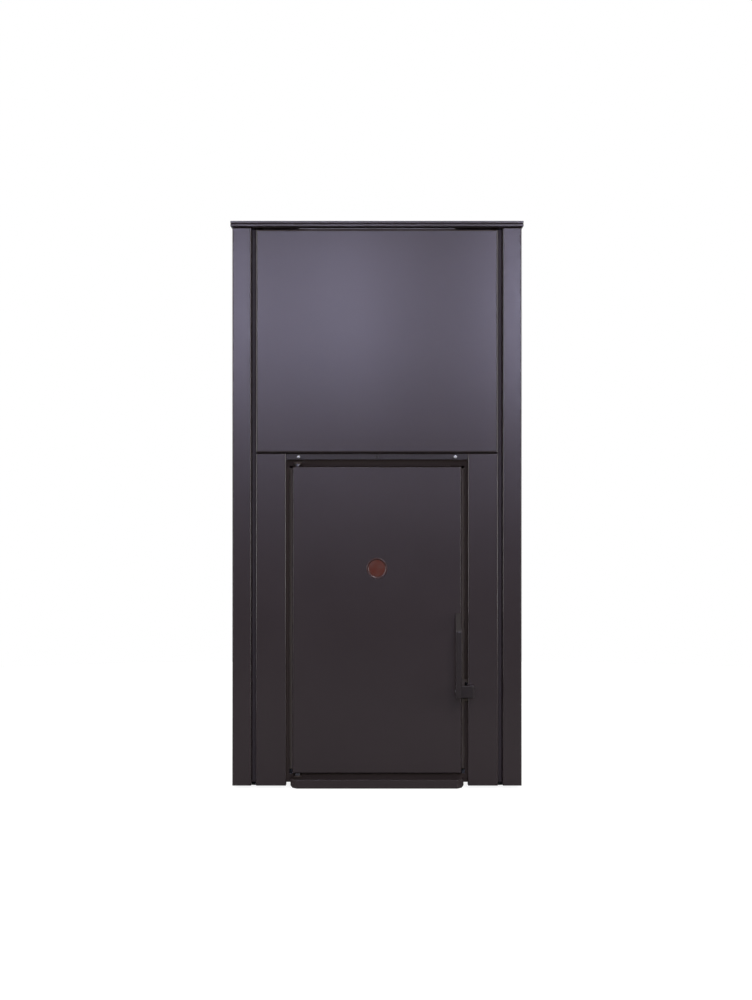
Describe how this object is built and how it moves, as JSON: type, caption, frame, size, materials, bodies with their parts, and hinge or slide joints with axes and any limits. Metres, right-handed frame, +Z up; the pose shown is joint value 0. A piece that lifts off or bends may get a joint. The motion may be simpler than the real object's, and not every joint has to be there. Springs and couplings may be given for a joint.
{
  "type": "pellet boiler",
  "caption": "Floor-standing pellet boiler with a dark sheet-steel casing, a hinged fire door with a round sight glass and lever, a pull-off upper panel and a hinged hopper lid.",
  "frame": {"origin": "on the floor under the middle of the whole object's box", "axes": "+Z up, +Y to the rear wall, -Y to the viewer, +X to the viewer's right facing the door"},
  "size_m": [0.682, 0.816, 1.32],
  "materials": {
    "powder_coat": "satin dark brown powder coat",
    "black_paint": "matt heat-resistant black",
    "boiler_paint": "dark grey primer on welded plate",
    "galvanised": "galvanised sheet",
    "bright_steel": "bright zinc-plated steel",
    "spring_steel": "spring steel",
    "stainless": "heat-tinted stainless",
    "cast_iron": "cast iron",
    "refractory": "pressed refractory board",
    "mineral_wool": "pressed fibre slab",
    "rope": "woven glass rope",
    "rubber": "moulded rubber",
    "fire_glass": "dark red heat-resistant glass",
    "aluminium": "die-cast aluminium",
    "brass": "machined brass",
    "pump_paint": "black coated cast pump",
    "vessel_paint": "red enamel",
    "panel_plastic": "fine-grained moulding",
    "key_plastic": "grey moulding",
    "knob_plastic": "red moulding",
    "rocker_plastic": "black moulding"
  },
  "bodies": {
    "casing": {"base_frame": "galvanised", "levelling_feet": "bright_steel", "side_panel_left": "powder_coat", "side_panel_right": "powder_coat", "front_frame": "black_paint", "lower_left_fascia": "powder_coat", "lower_right_fascia": "powder_coat", "door_header": "powder_coat", "header_screws": "bright_steel", "door_sill": "powder_coat", "rear_panel": "powder_coat", "top_plate": "powder_coat", "lid_hinge_leaves": "bright_steel", "panel_spring_clips": "spring_steel", "door_hinge_brackets": "black_paint", "door_hinge_pins": "bright_steel", "roller_catch": "bright_steel", "boiler_body": "boiler_paint", "firebox_lining": "refractory", "burner_pot": "cast_iron", "ash_drawer": "galvanised", "smoke_box_cover": "boiler_paint", "ignition_rod": "stainless", "cleaning_gearmotor": "black_paint", "hopper": "galvanised", "hopper_grille": "bright_steel", "auger_tube": "galvanised", "auger_gearmotor": "aluminium", "drop_chute": "galvanised", "fan_housing": "galvanised", "fan_motor": "aluminium", "flue_spigot": "galvanised", "air_intake": "galvanised", "circulation_pump": "pump_paint", "expansion_vessel": "vessel_paint", "water_pipes": "brass", "safety_valve": "brass", "control_panel": "panel_plastic", "mains_inlet": "panel_plastic"},
    "lid": {"hopper_lid": "powder_coat", "lid_seal": "rubber"},
    "front_panel": {"upper_front_panel": "powder_coat", "panel_studs": "bright_steel"},
    "door": {"door_shell": "powder_coat", "door_inner_plate": "black_paint", "door_insulation": "mineral_wool", "door_rope_seal": "rope", "sight_glass": "fire_glass", "sight_glass_ring": "stainless"},
    "handle": {"handle_lever": "black_paint", "handle_spindle": "bright_steel"},
    "rack": {"turbulator_rack": "stainless"},
    "crank": {"cleaning_crank": "bright_steel"},
    "auger": {"auger_screw": "bright_steel"},
    "fan": {"fan_impeller": "stainless"},
    "key_power": {"key_power": "key_plastic"},
    "key_minus": {"key_minus": "key_plastic"},
    "key_plus": {"key_plus": "key_plastic"},
    "rocker": {"mains_rocker": "rocker_plastic"},
    "valve_knob": {"safety_valve_knob": "knob_plastic"}
  },
  "joints": [
    {"name": "lid_hinge", "type": "hinge", "parent": "casing", "child": "lid", "pos_m": [0, 0.372, 1.3138], "axis": [-1, 0, 0], "range_deg": [0, 95]},
    {"name": "panel_pull", "type": "slide", "parent": "casing", "child": "front_panel", "axis": [0, -1, 0], "range_m": [0, 0.15]},
    {"name": "door_hinge", "type": "hinge", "parent": "casing", "child": "door", "pos_m": [-0.186, -0.356, 0.0337], "axis": [0, 0, -1], "range_deg": [0, 110]},
    {"name": "handle_turn", "type": "hinge", "parent": "door", "child": "handle", "pos_m": [0.1888, -0.37, 0.2265], "axis": [0, -1, 0], "range_deg": [0, 90]},
    {"name": "rack_lift", "type": "slide", "parent": "casing", "child": "rack", "axis": [0, 0, 1], "range_m": [-0.01, 0.01]},
    {"name": "crank_turn", "type": "hinge", "parent": "casing", "child": "crank", "pos_m": [0, -0.17, 0.7175], "axis": [1, 0, 0], "range_deg": [-14.37, 14.37]},
    {"name": "auger_spin", "type": "hinge", "parent": "casing", "child": "auger", "pos_m": [0, 0.33, 0.74], "axis": [0, -0.7071, 0.7071], "continuous": true},
    {"name": "fan_spin", "type": "hinge", "parent": "casing", "child": "fan", "pos_m": [0.115, 0.06, 0.19], "axis": [0, 1, 0], "continuous": true},
    {"name": "power_press", "type": "slide", "parent": "casing", "child": "key_power", "axis": [0, 0, -1], "range_m": [0, 0.002], "stiffness_N_per_m": 400, "springref_m": -0.001},
    {"name": "minus_press", "type": "slide", "parent": "casing", "child": "key_minus", "axis": [0, 0, -1], "range_m": [0, 0.002], "stiffness_N_per_m": 400, "springref_m": -0.001},
    {"name": "plus_press", "type": "slide", "parent": "casing", "child": "key_plus", "axis": [0, 0, -1], "range_m": [0, 0.002], "stiffness_N_per_m": 400, "springref_m": -0.001},
    {"name": "rocker_tip", "type": "hinge", "parent": "casing", "child": "rocker", "pos_m": [0.25, 0.3685, 0.984], "axis": [-1, 0, 0], "range_deg": [0, 14]},
    {"name": "valve_turn", "type": "hinge", "parent": "casing", "child": "valve_knob", "pos_m": [-0.19, 0.15, 0.65], "axis": [0, 0, 1], "range_deg": [0, 60]}
  ],
  "couplings": [
    {"joint": "crank_turn", "follows": "rack_lift", "rad_per_m": 25}
  ]
}
